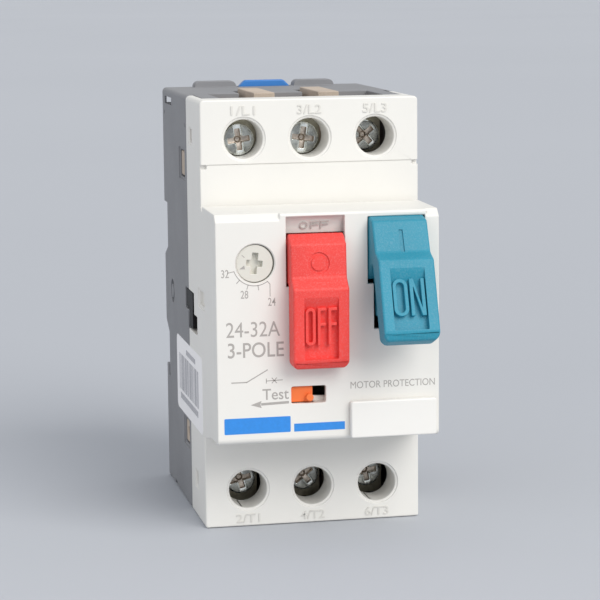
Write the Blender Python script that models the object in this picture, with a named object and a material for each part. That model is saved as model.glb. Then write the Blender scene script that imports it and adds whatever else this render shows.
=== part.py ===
"""Motor protection breaker, 45 mm wide, for a 35 mm rail.

The front faces -Y and up is +Z.  The origin lies on the back plane, on the centre line of the rail:
that is the middle of the rear face of the rib between the two rail grooves.  Sizes and places are in
millimetres; the meshes are made in metres.  The breaker is off: the OFF lever is pressed in and the
ON lever stands out.
"""

import math

import bmesh
import bpy
from mathutils import Matrix, Vector

MM = 0.001
GAP = 0.3

# Outside
WIDTH = 45.0
HEIGHT = 87.7
HALF_W = WIDTH / 2
HALF_H = HEIGHT / 2
BACK_Y = 0.0
SEAM_Y = -33.6
TERMINAL_Y = -51.8
FRONT_Y = -68.4
LID_BACK_Y = -45.3
WALL = 1.6
THIN_WALL = 1.2
EDGE = 1.0

# Centre cover
COVER_TOP = 22.65
COVER_BOTTOM = -24.65

# Rail
RECESS_TOP = 18.65
RECESS_BOTTOM = -20.5
FLANK_TOP = 8.9
FLANK_BOTTOM = -10.4
RECESS_DEPTH = 4.4
RIB_TOP = 6.85
RIB_BOTTOM = -7.85
BACK_WALL = 6.0

# Poles
POLE_PITCH = 13.6
POLES = (-POLE_PITCH, 0.0, POLE_PITCH)
POLE_NAMES = ("1", "2", "3")
BARRIERS = (-POLE_PITCH / 2, POLE_PITCH / 2)
CELL_HALF = 5.9
BARRIER_END = {1: 44.4, -1: 43.6}
BOSS_FACE = -22.0

# Terminals
WELL_Z = {1: 35.9, -1: -36.2}
WELL_RADIUS = 3.9
WELL_RING = 4.4
WELL_TUBE = 4.9
WELL_BOTTOM_Y = -44.4
SCREW_Z = {1: 35.4, -1: -36.0}
HEAD_RADIUS = 3.2
HEAD_THICK = 2.4
SHANK_RADIUS = 2.0
SHANK_LENGTH = 15.2
HEAD_Y = {"upper": (-46.1, -44.9, -41.9), "lower": (-42.4, -42.0, -41.7)}
CLAMP_DEPTH = 6.2
BAR_FRONT = -30.6
BAR_BACK = -29.4
STRIP_HALF = 2.6
PAD_HALF = 4.0

# Levers
PIVOT_Y = -59.8
PIVOT_Z = 18.15
PIN_RADIUS = 1.0
PIN_BORE = 1.3
HUB_RADIUS = 3.0
LEVER_HALF = 5.6
TONGUE_HALF = 4.15
OFF_X = -2.55
ON_X = 13.75
SWING = math.radians(20.7)
SLOT_TOP = 21.8
SLOT_STEP = 8.0
SLOT_BOTTOM = -1.05

# Contacts
CARRIER_Z = (4.0, 11.0)
CONTACT_BACK = -24.7
COIL_Z = -15.0
BIMETAL_Z = (-27.0, -22.0)

# Front controls
DIAL_X = -14.74
DIAL_Z = 12.82
DIAL_RADIUS = 3.5
DIAL_HOLE = 3.8
WINDOW_X = (-7.7, -0.7)
WINDOW_Z = (-15.4, -11.95)
PLATE_X = (4.1, 21.6)
PLATE_Z = (-22.65, -15.25)
PEG_X = (8.5, 17.5)
PEG_Z = -19.0

# Trip mechanism
CAM_Y = -50.0
CAM_Z = 2.0
LATCH_HALF = 5.7
LATCH_RIM = 1.35
CHANNEL_HALF = 6.0
BRACKET_HALF = 9.2

WHITE = (0.80, 0.78, 0.74)
GREY = (0.21, 0.21, 0.22)
RED = (0.78, 0.06, 0.05)
TEAL = (0.04, 0.30, 0.42)
BLUE = (0.03, 0.19, 0.60)
ORANGE = (0.85, 0.17, 0.05)
TAN = (0.55, 0.44, 0.32)
BLACK = (0.03, 0.03, 0.03)
STEEL = (0.55, 0.55, 0.53)
COPPER = (0.75, 0.38, 0.24)
BRASS = (0.60, 0.50, 0.30)


def empty_scene():
    for obj in list(bpy.data.objects):
        bpy.data.objects.remove(obj, do_unlink=True)


def material(name, colour, roughness=0.55, metallic=0.0):
    made = bpy.data.materials.new(name)
    made.use_nodes = True
    shader = made.node_tree.nodes["Principled BSDF"]
    shader.inputs["Base Color"].default_value = (*colour, 1.0)
    shader.inputs["Roughness"].default_value = roughness
    shader.inputs["Metallic"].default_value = metallic
    return made


# ---------------------------------------------------------------- shapes

def mesh_object(name, mesh):
    obj = bpy.data.objects.new(name, mesh)
    PARTS.objects.link(obj)
    return obj


def box(x, y, z, bevel=0.0):
    """A box between two values on each axis, with its edges rounded if a bevel is given."""
    low = Vector((min(x), min(y), min(z))) * MM
    high = Vector((max(x), max(y), max(z))) * MM
    mesh = bpy.data.meshes.new("box")
    work = bmesh.new()
    place = Matrix.Translation((low + high) / 2) @ Matrix.Diagonal((*(high - low), 1.0))
    bmesh.ops.create_cube(work, size=1.0, matrix=place)
    if bevel:
        bmesh.ops.bevel(work, geom=list(work.edges), offset=bevel * MM, segments=2,
                        profile=0.5, affect="EDGES")
    work.to_mesh(mesh)
    work.free()
    return mesh_object("box", mesh)


def cylinder(axis, centre, radius, span, end_radius=None, segments=24):
    """A cylinder or cone along an axis.  centre holds the two other coordinates, in X, Y, Z order."""
    index = "XYZ".index(axis)
    middle = list(centre)
    middle.insert(index, (span[0] + span[1]) / 2)
    turn = {"X": Matrix.Rotation(math.pi / 2, 4, "Y"), "Y": Matrix.Rotation(-math.pi / 2, 4, "X"),
            "Z": Matrix.Identity(4)}[axis]
    mesh = bpy.data.meshes.new("cylinder")
    work = bmesh.new()
    place = Matrix.Translation(Vector(middle) * MM) @ turn
    bmesh.ops.create_cone(work, cap_ends=True, segments=segments, radius1=radius * MM,
                          radius2=(end_radius or radius) * MM, depth=abs(span[1] - span[0]) * MM,
                          matrix=place)
    work.to_mesh(mesh)
    work.free()
    return mesh_object("cylinder", mesh)


def to_mesh(curve_object):
    """Turns a curve object into a mesh object with its caps welded."""
    bpy.context.view_layer.update()
    graph = bpy.context.evaluated_depsgraph_get()
    mesh = bpy.data.meshes.new_from_object(curve_object.evaluated_get(graph))
    work = bmesh.new()
    work.from_mesh(mesh)
    bmesh.ops.remove_doubles(work, verts=work.verts, dist=0.01 * MM)
    work.transform(curve_object.matrix_world)
    bmesh.ops.recalc_face_normals(work, faces=work.faces)
    if work.calc_volume(signed=True) < 0:
        bmesh.ops.reverse_faces(work, faces=work.faces)
    work.to_mesh(mesh)
    work.free()
    bpy.data.objects.remove(curve_object, do_unlink=True)
    return mesh_object("shape", mesh)


def outline(points, axis, span):
    """A flat outline of (first, second) points, extruded along an axis.

    The two coordinates are (Y, Z) along X, (X, Z) along Y and (X, Y) along Z.
    """
    curve = bpy.data.curves.new("outline", "CURVE")
    curve.dimensions = "2D"
    curve.fill_mode = "BOTH"
    curve.extrude = abs(span[1] - span[0]) / 2 * MM
    spline = curve.splines.new("POLY")
    spline.points.add(len(points) - 1)
    for target, (first, second) in zip(spline.points, points):
        target.co = (first * MM, second * MM, 0.0, 1.0)
    spline.use_cyclic_u = True
    turned = {"X": ((0, 0, 1), (1, 0, 0), (0, 1, 0)), "Y": ((1, 0, 0), (0, 0, -1), (0, 1, 0)),
              "Z": ((1, 0, 0), (0, 1, 0), (0, 0, 1))}[axis]
    obj = bpy.data.objects.new("outline", curve)
    PARTS.objects.link(obj)
    middle = [0.0, 0.0, 0.0]
    middle["XYZ".index(axis)] = (span[0] + span[1]) / 2 * MM
    obj.matrix_world = Matrix.Translation(middle) @ Matrix(turned).to_4x4()
    return to_mesh(obj)


def arc(centre, radius, start, end, steps):
    """Points on an arc, with the angles in degrees from the first axis towards the second."""
    return [(centre[0] + radius * math.cos(math.radians(start + (end - start) * i / steps)),
             centre[1] + radius * math.sin(math.radians(start + (end - start) * i / steps)))
            for i in range(steps + 1)]


def helix(axis_point, radius, wire, span, turns, steps=10):
    """A coil of round wire along Y or Z.  span is (axis, start, end)."""
    axis, start, end = span
    curve = bpy.data.curves.new("coil", "CURVE")
    curve.dimensions = "3D"
    curve.bevel_depth = wire * MM
    curve.bevel_resolution = 1
    curve.use_fill_caps = True
    spline = curve.splines.new("POLY")
    count = turns * steps + 1
    spline.points.add(count - 1)
    for i in range(count):
        angle = 2 * math.pi * i / steps
        along = start + (end - start) * i / (count - 1)
        side, up = radius * math.cos(angle), radius * math.sin(angle)
        if axis == "Y":
            place = (axis_point[0] + side, along, axis_point[1] + up)
        else:
            place = (axis_point[0] + side, axis_point[1] + up, along)
        spline.points[i].co = (*(value * MM for value in place), 1.0)
    obj = bpy.data.objects.new("coil", curve)
    PARTS.objects.link(obj)
    return to_mesh(obj)


def combine(target, others, operation):
    """Joins or cuts the target with other objects, and removes them."""
    for other in others:
        step = target.modifiers.new(operation.lower(), "BOOLEAN")
        step.operation = operation
        step.solver = "EXACT"
        step.object = other
    bpy.context.view_layer.update()
    graph = bpy.context.evaluated_depsgraph_get()
    mesh = bpy.data.meshes.new_from_object(target.evaluated_get(graph))
    target.modifiers.clear()
    target.data = mesh
    for other in others:
        bpy.data.objects.remove(other, do_unlink=True)
    return target


def join(target, *others):
    return combine(target, others, "UNION")


def cut(target, *others):
    return combine(target, others, "DIFFERENCE")


def name_part(obj, name, look, pivot=None):
    """Names a finished piece, gives it its material and puts its origin on its joint's axis."""
    obj.name = name
    obj.data.name = name
    obj.data.materials.clear()
    obj.data.materials.append(look)
    if pivot:
        origin = Vector(pivot) * MM
        obj.data.transform(Matrix.Translation(-origin))
        obj.location = origin
    obj.data.shade_smooth()
    obj.data.set_sharp_from_angle(angle=math.radians(30))
    return obj


def copy_part(source, name, shift):
    """A second piece of the same shape, moved by shift."""
    twin = source.copy()
    twin.name = name
    twin.location = source.location + Vector(shift) * MM
    PARTS.objects.link(twin)
    return twin


# ---------------------------------------------------------------- housing

def base_housing(look):
    """Dark rear shell with the rail grooves, the wire entries and the latch channel."""
    shell = box((-HALF_W, HALF_W), (SEAM_Y + GAP - 3, BACK_Y), (-HALF_H, HALF_H), EDGE)
    tongue_half = HALF_W - WALL - GAP
    shell = cut(shell, box((-30, 30), (SEAM_Y + GAP, SEAM_Y - 6), (-50, 50)))
    tongue = box((-tongue_half, tongue_half), (LID_BACK_Y + GAP, SEAM_Y + 4), (-HALF_H, HALF_H))
    tab_z = (HALF_H - 3, HALF_H + 1.3)
    tabs = [box((-15.8, -6.5), (-4.0, -0.4), tab_z), box((6.5, 15.6), (-4.0, -0.4), tab_z)]
    shell = join(shell, tongue, *tabs)
    inner_half = HALF_W - WALL
    cavity = box((-inner_half, inner_half), (-50, -BACK_WALL), (-HALF_H + WALL, HALF_H - WALL))
    upper_groove = outline([(2, RIB_TOP), (2, RECESS_TOP), (-RECESS_DEPTH, RECESS_TOP),
                            (-RECESS_DEPTH, FLANK_TOP), (0, RIB_TOP)], "X", (-30, 30))
    lower_groove = outline([(2, RIB_BOTTOM), (0, RIB_BOTTOM), (-RECESS_DEPTH, FLANK_BOTTOM),
                            (-RECESS_DEPTH, RECESS_BOTTOM), (-2.9, RECESS_BOTTOM),
                            (-2.9, RECESS_BOTTOM + 2.5), (2, RECESS_BOTTOM + 2.5)], "X", (-30, 30))
    channel = box((-CHANNEL_HALF, CHANNEL_HALF), (-3.4, -0.8), (RECESS_TOP - 1, HALF_H + 5))
    shell = cut(shell, cavity, upper_groove, lower_groove, channel)
    shell = cut(shell, *wire_entries(), *side_windows(), *coupling_opening(), label_pocket())
    stop = box((-1.5, 1.5), (-4.2, -0.5), (37.5, 39.0))
    return name_part(join(shell, stop), "base_housing", look)


def wire_entries():
    """One opening over the three poles at each end, and the two slots for the phase barriers."""
    cutters = []
    for side in (1, -1):
        span = (side * (HALF_H - WALL - 1), side * (HALF_H + 3))
        cutters.append(box((-17.2, 17.2), (-46, -29.2), span))
        for x in BARRIERS:
            cutters.append(box((x - 3.6, x + 3.6), (-29.5, -18.7), span))
    return cutters


def side_windows():
    """Openings of the left wall: two windows over the inner moulding, a turned ring, a slot that
    leads through the back wall at the top, and a small notch in the bottom edge."""
    wall = (-HALF_W - 1, -HALF_W + WALL + 0.5)
    upper = box(wall, (-30.4, -23.6), (26.35, 32.05))
    lower = box(wall, (-31.1, -24.6), (-31.05, -25.85))
    ring = cut(cylinder("X", (-10.4, -0.3), 2.6, (-HALF_W - 1, -HALF_W + 0.7)),
               cylinder("X", (-10.4, -0.3), 1.5, (-HALF_W - 2, -HALF_W + 1.5)))
    slot = box(wall, (-13.0, -3.2), (40.6, 42.2))
    slot_back = box((-22.0, -17.0), (-7.0, 2.0), (40.6, 42.2))
    notch = box((-HALF_W - 1, -17.0), (-12.6, -9.6), (-HALF_H - 1, -HALF_H + 1.0))
    return [upper, lower, ring, slot, slot_back, notch]


def coupling_opening():
    """The stepped opening on the seam of the left wall, where the coupling lever shows."""
    wall = (-HALF_W - 1, -HALF_W + WALL + 0.5)
    return [box(wall, (-40.6, -29.0), (-1.2, 3.3)), box(wall, (-44.5, -33.2), (-5.0, -1.1))]


def label_pocket():
    return box((-HALF_W - 1, -HALF_W + 0.4), (-50.4, -15.3), (-25.3, -8.4))


def front_cover(look):
    """White front shell: terminal blocks, centre cover and the openings of all the controls."""
    blocks = box((-HALF_W, HALF_W), (TERMINAL_Y, SEAM_Y + 3), (-HALF_H, HALF_H), EDGE)
    blocks = cut(blocks, box((-30, 30), (SEAM_Y, SEAM_Y + 6), (-50, 50)))
    centre = outline(centre_profile(), "X", (-HALF_W, HALF_W))
    cover = join(blocks, centre)
    inner_half = HALF_W - WALL
    hollow = box((-inner_half, inner_half), (TERMINAL_Y + WALL, SEAM_Y + 6),
                 (-HALF_H + WALL, HALF_H - WALL))
    front_hollow = box((-inner_half, inner_half), (FRONT_Y + THIN_WALL, TERMINAL_Y + 4),
                       (COVER_BOTTOM + 2.8, COVER_TOP - THIN_WALL))
    lid_edge = box((-inner_half, inner_half), (LID_BACK_Y, SEAM_Y + 6), (-50, 50))
    cover = cut(cover, hollow, front_hollow, lid_edge)
    cover = join(cover, *well_tubes(), *pin_ribs())
    cover = cut(cover, *well_bores(), *lever_slots(), *control_openings(), *coupling_opening(),
                *cover_windows(), label_pocket())
    return name_part(join(cover, off_wall(OFF_X), off_wall(ON_X)), "front_cover", look)


def centre_profile():
    """Side view (Y, Z) of the centre cover: a level ledge on top and a soft step underneath."""
    inside = TERMINAL_Y + 0.8
    return [(inside, COVER_TOP), (FRONT_Y + 1.2, COVER_TOP - 0.15), (FRONT_Y, COVER_TOP - 1.4),
            (FRONT_Y, COVER_BOTTOM + 2.7), (FRONT_Y + 1.0, COVER_BOTTOM + 1.5),
            (FRONT_Y + 7.5, COVER_BOTTOM + 1.4), (FRONT_Y + 10.5, COVER_BOTTOM + 0.9),
            (FRONT_Y + 13.5, COVER_BOTTOM + 0.2), (TERMINAL_Y, COVER_BOTTOM), (inside, COVER_BOTTOM)]


def well_tubes():
    return [cylinder("Y", (x, WELL_Z[side]), WELL_TUBE, (TERMINAL_Y + 0.8, WELL_BOTTOM_Y))
            for side in (1, -1) for x in POLES]


def well_bores():
    cutters = []
    for side in (1, -1):
        for x in POLES:
            spot = (x, WELL_Z[side])
            cutters.append(cylinder("Y", spot, WELL_RADIUS, (TERMINAL_Y - 2, WELL_BOTTOM_Y + 2)))
            cutters.append(cylinder("Y", spot, WELL_RING, (TERMINAL_Y - 0.8, TERMINAL_Y + 0.35)))
    return cutters


def pin_ribs():
    """Three ribs under the ledge that carry the pin of the levers."""
    return [box(x, (PIVOT_Y - 4.5, PIVOT_Y + 3.0), (PIVOT_Z - 3.5, COVER_TOP - 0.6))
            for x in ((-9.7, -8.8), (5.0, 6.2), (19.95, 21.2))]


def lever_slots():
    """The stepped slots of the two levers, and the bore of their pin."""
    cutters = [cylinder("X", (PIVOT_Y, PIVOT_Z), PIN_BORE, (-12, 20.6), segments=16)]
    for x in (OFF_X, ON_X):
        cutters.append(box((x - LEVER_HALF - GAP, x + LEVER_HALF + GAP), (FRONT_Y - 2, -63.8),
                           (SLOT_STEP, SLOT_TOP)))
        cutters.append(box((x - TONGUE_HALF - 0.4, x + TONGUE_HALF + 0.45), (FRONT_Y - 2, -66),
                           (SLOT_BOTTOM, SLOT_STEP + 1)))
    return cutters


def off_wall(x):
    """The hollow wall above a lever, which a pressed lever leaves in view."""
    points = [(-67.35, SLOT_TOP + 0.1), (-66.75, 20.6), (-66.4, 19.6), (-66.3, 18.75), (-65.0, 18.75),
              (-65.0, SLOT_TOP + 0.1)]
    return outline(points, "X", (x - LEVER_HALF - 0.6, x + LEVER_HALF + 0.6))


def control_openings():
    dial = cylinder("Y", (DIAL_X, DIAL_Z), DIAL_HOLE, (FRONT_Y - 2, -66))
    window = box(WINDOW_X, (FRONT_Y - 2, -66), WINDOW_Z)
    pegs = [cylinder("Y", (x, PEG_Z), 1.5, (FRONT_Y - 2, -66), segments=16) for x in PEG_X]
    return [dial, window, *pegs]


def cover_windows():
    """Small windows in the cover's left side."""
    wall = (-HALF_W - 1, -HALF_W + WALL + 0.5)
    return [box(wall, (-40.5, -37.3), (34.45, 37.25)), box(wall, (-41.9, -39.2), (-37.35, -34.35)),
            box((-HALF_W - 1, -HALF_W + 1.0), (-53.7, -46.6), (1.95, 4.95))]


def marking_plate(look):
    plate = box(PLATE_X, (-70.0, FRONT_Y - GAP), PLATE_Z, 0.3)
    pegs = [cylinder("Y", (x, PEG_Z), 1.2, (FRONT_Y - 0.8, -66.4), segments=16) for x in PEG_X]
    return name_part(join(plate, *pegs), "marking_plate", look)


def side_label(look):
    face = -HALF_W - 0.05
    return name_part(box((face, face + 0.15), (-50.0, -15.7), (-24.9, -8.8)), "side_label", look)


# ---------------------------------------------------------------- levers

def lever_profile():
    """Side view (Y, Z) of a pressed lever: head, slope, pad, and the hollow behind the head."""
    hub = arc((PIVOT_Y, PIVOT_Z), HUB_RADIUS, -100, 150, 12)
    return [(-68.2, 18.55), (-71.2, 16.6), (-71.7, 10.05), (-73.8, 8.05), (-73.55, -6.3),
            (-72.6, -7.85), (-68.9, -7.95), (-68.8, 8.4), (-66.8, 8.4), (-63.4, 6.6),
            *hub, (-63.6, 15.9), (-66.5, 15.6)]


def tongue_profile():
    """Side view of the narrow tongue behind the pad, which reaches into the slot."""
    return [(-69.2, 8.6), (-62.0, 8.6), (-61.2, 3.0), (-61.6, -0.4), (-69.2, -0.4)]


def lever(name, x, look):
    body = outline(lever_profile(), "X", (x - LEVER_HALF, x + LEVER_HALF))
    tongue = outline(tongue_profile(), "X", (x - TONGUE_HALF, x + TONGUE_HALF))
    recess = box((x - 3.6, x + 3.6), (-80, -72.9), (-5.6, 7.0))
    body = cut(join(body, tongue), recess,
               cylinder("X", (PIVOT_Y, PIVOT_Z), PIN_BORE, (x - 8, x + 8), segments=16))
    return name_part(body, name, look, (x, PIVOT_Y, PIVOT_Z))


def levers(off_look, on_look):
    lever("off_lever", OFF_X, off_look)
    standing = lever("on_lever", ON_X, on_look)
    standing.data.transform(Matrix.Rotation(-SWING, 4, "X"))


def lever_pin(look):
    pin = cylinder("X", (PIVOT_Y, PIVOT_Z), PIN_RADIUS, (-10.4, 20.3), segments=16)
    return name_part(pin, "lever_pin", look)


# ---------------------------------------------------------------- controls

def adjustment_dial(look):
    spot = (DIAL_X, DIAL_Z)
    dial = join(cylinder("Y", spot, DIAL_RADIUS, (-68.1, -66.0)),
                cylinder("Y", spot, 4.6, (-66.9, -65.7)),
                cylinder("Y", spot, 1.8, (-66.0, -55.0), segments=16),
                cylinder("Y", (DIAL_X + 0.7, DIAL_Z), 2.4, (-56.4, -54.0), segments=16))
    dial = cut(dial, box((DIAL_X - 1.6, DIAL_X + 1.6), (-70, -67.0), (DIAL_Z - 0.5, DIAL_Z + 0.5)),
               box((DIAL_X - 0.5, DIAL_X + 0.5), (-70, -67.0), (DIAL_Z - 2.1, DIAL_Z + 2.1)))
    return name_part(dial, "adjustment_dial", look, (DIAL_X, -68.1, DIAL_Z))


def test_slide(look):
    """The slide behind the test window, with its round finger pin and the prong that moves the bar."""
    slide = join(box((-10.4, -3.2), (-66.9, -65.0), (-15.1, -12.25)),
                 cylinder("Y", (-4.0, -14.2), 0.73, (-68.9, -66.0), segments=16),
                 box((-4.4, -3.2), (-65.6, -60.9), (-18.6, -12.25)))
    return name_part(slide, "test_slide", look, (-5.5, -66.0, -13.7))


def trip_bar(look):
    """Bar across the three bimetals, with a finger for each and a stalk up to the test slide."""
    bar = box((-18, 18), (-39.5, -37.2), (-26.5, -22.5))
    fingers = [box((x - 2.4, x - 1.2), (-38, -31.0), (-26.3, -22.9)) for x in POLES]
    stalk = join(box((-6.3, -4.8), (-63.6, -38.5), (-20.9, -19.6)),
                 box((-6.3, -4.8), (-63.6, -61.2), (-20.9, -16.6)),
                 box((-6.3, -4.8), (-40.0, -38.2), (-24.0, -19.6)))
    return name_part(join(bar, *fingers, stalk), "trip_bar", look, (0, -38.3, -24.5))


# ---------------------------------------------------------------- inside

def inner_frame(look):
    """The moulding that holds the current path: three cells, and barriers between the terminals."""
    frame = box((-20.4, 20.4), (-33.8, -6.6), (-32, 32))
    cells = [box((x - CELL_HALF, x + CELL_HALF), (-40, -8.2), (-30.5, 30.5)) for x in POLES]
    passages = [box((x - 4.3, x + 4.3), (-40, -28.6), (side * 29, side * 34))
                for x in POLES for side in (1, -1)]
    frame = cut(frame, *cells, *passages)
    extra = [box((-20.4, -19.4), (-47.0, -33.0), (-6.0, -1.6)),
             box((-20.4, -19.4), (-43.5, -28.0), (28.0, 38.5)),
             box((-20.4, -19.4), (-43.5, -28.0), (-38.5, -28.0)), *window_bosses()]
    for side in (1, -1):
        for x in BARRIERS:
            extra += barrier(x, side)
    return name_part(join(frame, *extra), "inner_frame", look)


def window_bosses():
    """Pads of the frame that fill the small windows of the left wall to just under its surface."""
    across = (BOSS_FACE, -19.6)
    return [box(across, (-30.1, -23.9), (26.65, 31.75)),
            cut(box(across, (-30.8, -24.9), (-30.75, -26.15)),
                cylinder("X", (-27.6, -28.4), 1.1, (BOSS_FACE - 1, BOSS_FACE + 1.2), segments=16)),
            box(across, (-40.2, -37.6), (34.75, 36.95)),
            box(across, (-41.6, -39.5), (-37.05, -34.65))]


def barrier(x, side):
    """A web between two terminals, with a head that fills most of its slot in the end wall."""
    web = box((x - 1.3, x + 1.3), (-38.0, -12.0), (side * 31.0, side * 42.0))
    head = box((x - 2.2, x + 2.2), (-38.7, -19.5), (side * 41.6, side * BARRIER_END[side]))
    return [web, head]


def terminals(screw_look, clamp_look):
    """Captive screws and their pressure blocks, each turned in to a different depth."""
    for side, word in ((1, "upper"), (-1, "lower")):
        first = HEAD_Y[word][0]
        screw = terminal_screw(SCREW_Z[side], first)
        clamp = terminal_clamp(SCREW_Z[side], first + HEAD_THICK + GAP)
        pivot = (POLES[0], first, SCREW_Z[side])
        name_part(screw, f"{word}_screw_1", screw_look, pivot)
        name_part(clamp, f"{word}_clamp_1", clamp_look, pivot)
        for x, number, head in list(zip(POLES, POLE_NAMES, HEAD_Y[word]))[1:]:
            copy_part(screw, f"{word}_screw_{number}", (x - POLES[0], head - first, 0))
            copy_part(clamp, f"{word}_clamp_{number}", (x - POLES[0], head - first, 0))


def terminal_screw(z, head):
    spot = (POLES[0], z)
    screw = join(cylinder("Y", spot, HEAD_RADIUS, (head, head + HEAD_THICK)),
                 cylinder("Y", spot, SHANK_RADIUS, (head + 1.0, head + HEAD_THICK + SHANK_LENGTH),
                          segments=16))
    across = box((POLES[0] - 4, POLES[0] + 4), (head - 1, head + 0.9), (z - 0.5, z + 0.5))
    upright = box((POLES[0] - 0.6, POLES[0] + 0.6), (head - 1, head + 1.3), (z - 2.1, z + 2.1))
    return cut(screw, across, upright)


def terminal_clamp(z, front):
    inner, outer = (z - 3.6, 41.2) if z > 0 else (z + 3.6, -41.2)
    block = box((POLES[0] - PAD_HALF, POLES[0] + PAD_HALF), (front, front + CLAMP_DEPTH),
                (inner, outer))
    bore = cylinder("Y", (POLES[0], z), SHANK_RADIUS + GAP, (front - 1, front + CLAMP_DEPTH + 1),
                    segments=16)
    return cut(block, bore)


def terminal_bar(side):
    """The drilled end of a conductor, under the pressure block."""
    x = POLES[0]
    plate = box((x - PAD_HALF, x + PAD_HALF), (BAR_FRONT, BAR_BACK), (side * 32.3, side * 41.2))
    bore = cylinder("Y", (x, SCREW_Z[side]), SHANK_RADIUS + GAP, (BAR_FRONT - 1, BAR_BACK + 1),
                    segments=16)
    return cut(plate, bore)


def strip(y, z):
    return box((POLES[0] - STRIP_HALF, POLES[0] + STRIP_HALF), y, z)


def pad(y, z):
    return box((POLES[0] - 2.0, POLES[0] + 2.0), y, z)


def current_path(copper):
    """For each pole: line conductor, two fixed contacts, load conductor and moving contact."""
    bar = (BAR_FRONT, BAR_BACK)
    face = (BAR_BACK - 0.2, BAR_BACK + 0.8)
    line = join(terminal_bar(1), strip(bar, (14.0, 33.0)), pad(face, (14.5, 17.5)))
    lower = join(strip(bar, (-7.2, 1.0)), strip((BAR_FRONT, -12.0), (-7.2, -6.0)),
                 pad(face, (-2.2, 0.6)))
    load = join(terminal_bar(-1), strip(bar, (-33.0, -28.3)), strip((BAR_FRONT, -10.0), (-29.5, -28.3)))
    moving = join(box((POLES[0] - 2.2, POLES[0] + 2.2), (CONTACT_BACK, CONTACT_BACK + 1.2),
                      (-3.0, 18.2)),
                  pad((CONTACT_BACK - 1.0, CONTACT_BACK + 0.2), (14.5, 17.5)),
                  pad((CONTACT_BACK - 1.0, CONTACT_BACK + 0.2), (-2.2, 0.6)))
    for piece, word in ((line, "line_conductor"), (lower, "fixed_contact"),
                        (load, "load_conductor"), (moving, "moving_contact")):
        repeat(name_part(piece, f"{word}_1", copper, (POLES[0], BAR_BACK, 0)), word)


def repeat(first, word):
    """Copies a piece of the first pole to the two others."""
    for x, number in list(zip(POLES, POLE_NAMES))[1:]:
        copy_part(first, f"{word}_{number}", (x - POLES[0], 0, 0))


def contact_carrier(look):
    """Cross bar with a windowed post for each moving contact."""
    carrier = box((-18, 18), (-37.5, -34.2), CARRIER_Z)
    posts = [box((x - 3.8, x + 3.8), (-36, -18.0), CARRIER_Z) for x in POLES]
    windows = [box((x - 2.6, x + 2.6), (-25.0, -19.2), (0, 15)) for x in POLES]
    link = box((-2.0, 2.0), (-41.5, -37.0), (5.0, 9.0))
    return name_part(cut(join(carrier, *posts, link), *windows), "contact_carrier", look,
                     (0, -37.5, 7.5))


def coupling_lever(look):
    """The end of the carrier's motion that shows in the left side, for a side-mounted contact."""
    outer = join(box((-22.3, -20.75), (-37.7, -29.3), (-0.8, 2.95)),
                 box((-22.3, -20.75), (-37.4, -33.5), (-4.6, -0.7)),
                 box((-21.0, -18.3), (-37.5, -34.3), (-0.4, 2.7)))
    hook = box((-19.6, -18.3), (-37.5, -34.3), (2.0, 9.0))
    return name_part(join(outer, hook), "coupling_lever", look, (-20, -37.5, 1.0))


def trip_units(copper, steel, bimetal_look):
    """Magnetic coil, its plunger and the bimetal of each pole."""
    x = POLES[0]
    coil = helix((x, COIL_Z), 3.9, 0.7, ("Y", -28.4, -14.6), 6)
    plunger = join(cylinder("Y", (x, COIL_Z), 2.2, (-31.5, -15.5), segments=16),
                   cylinder("Y", (x, COIL_Z), 0.8, (-36.5, -30.0), segments=12))
    bimetal = box((x - 0.4, x + 0.4), (-34.0, -9.0), BIMETAL_Z)
    repeat(name_part(coil, "trip_coil_1", copper, (x, -21.5, COIL_Z)), "trip_coil")
    repeat(name_part(plunger, "plunger_1", steel, (x, -31.5, COIL_Z)), "plunger")
    repeat(name_part(bimetal, "bimetal_1", bimetal_look, (x, -9.0, -24.5)), "bimetal")


def contact_springs(steel):
    spring = helix((POLES[0], 7.5), 1.5, 0.25, ("Y", -22.9, -19.8), 4)
    repeat(name_part(spring, "contact_spring_1", steel, (POLES[0], -22.9, 7.5)), "contact_spring")


def arc_chutes(steel):
    """A stack of splitter plates on a back sheet, behind the contacts of each pole."""
    x = POLES[0]
    chute = box((x - 4.8, x + 4.8), (-15.5, -8.8), (-1.0, 26.0))
    gaps = [box((x - 6, x + 6), (-17, -9.8), (z, z + 2.4)) for z in (0.2, 4.2, 8.2, 12.2, 16.2, 20.2)]
    chute = cut(chute, *gaps, box((x - 6, x + 6), (-17, -9.8), (24.0, 24.9)))
    repeat(name_part(chute, "arc_chute_1", steel, (x, -8.8, 12.5)), "arc_chute")


def mechanism(steel, dark):
    """The bracket behind the levers, its cam and the cam's pin."""
    bracket = cut(box((-BRACKET_HALF, BRACKET_HALF), (-58.6, -42.2), (-10.0, 12.5)),
                  box((-8.2, 8.2), (-60, -40), (-9.0, 14)),
                  cylinder("X", (CAM_Y, CAM_Z), PIN_BORE, (-12, 12), segments=16))
    name_part(bracket, "mechanism_frame", steel)
    arms = [*arc((CAM_Y - 7.0, CAM_Z + 1.5), 1.2, 90, 270, 5),
            *arc((CAM_Y, CAM_Z), 3.0, 215, 275, 3),
            *arc((CAM_Y + 5.6, CAM_Z - 2.2), 1.2, -110, 70, 5),
            *arc((CAM_Y, CAM_Z), 3.0, 35, 120, 5)]
    cam = cut(outline(arms, "X", (-3, 3)),
              cylinder("X", (CAM_Y, CAM_Z), PIN_BORE, (-5, 5), segments=16))
    name_part(cam, "toggle_cam", dark, (0, CAM_Y, CAM_Z))
    pin = cylinder("X", (CAM_Y, CAM_Z), PIN_RADIUS, (-10.2, 10.2), segments=16)
    name_part(pin, "cam_pin", steel)


# ---------------------------------------------------------------- rail latch

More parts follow.
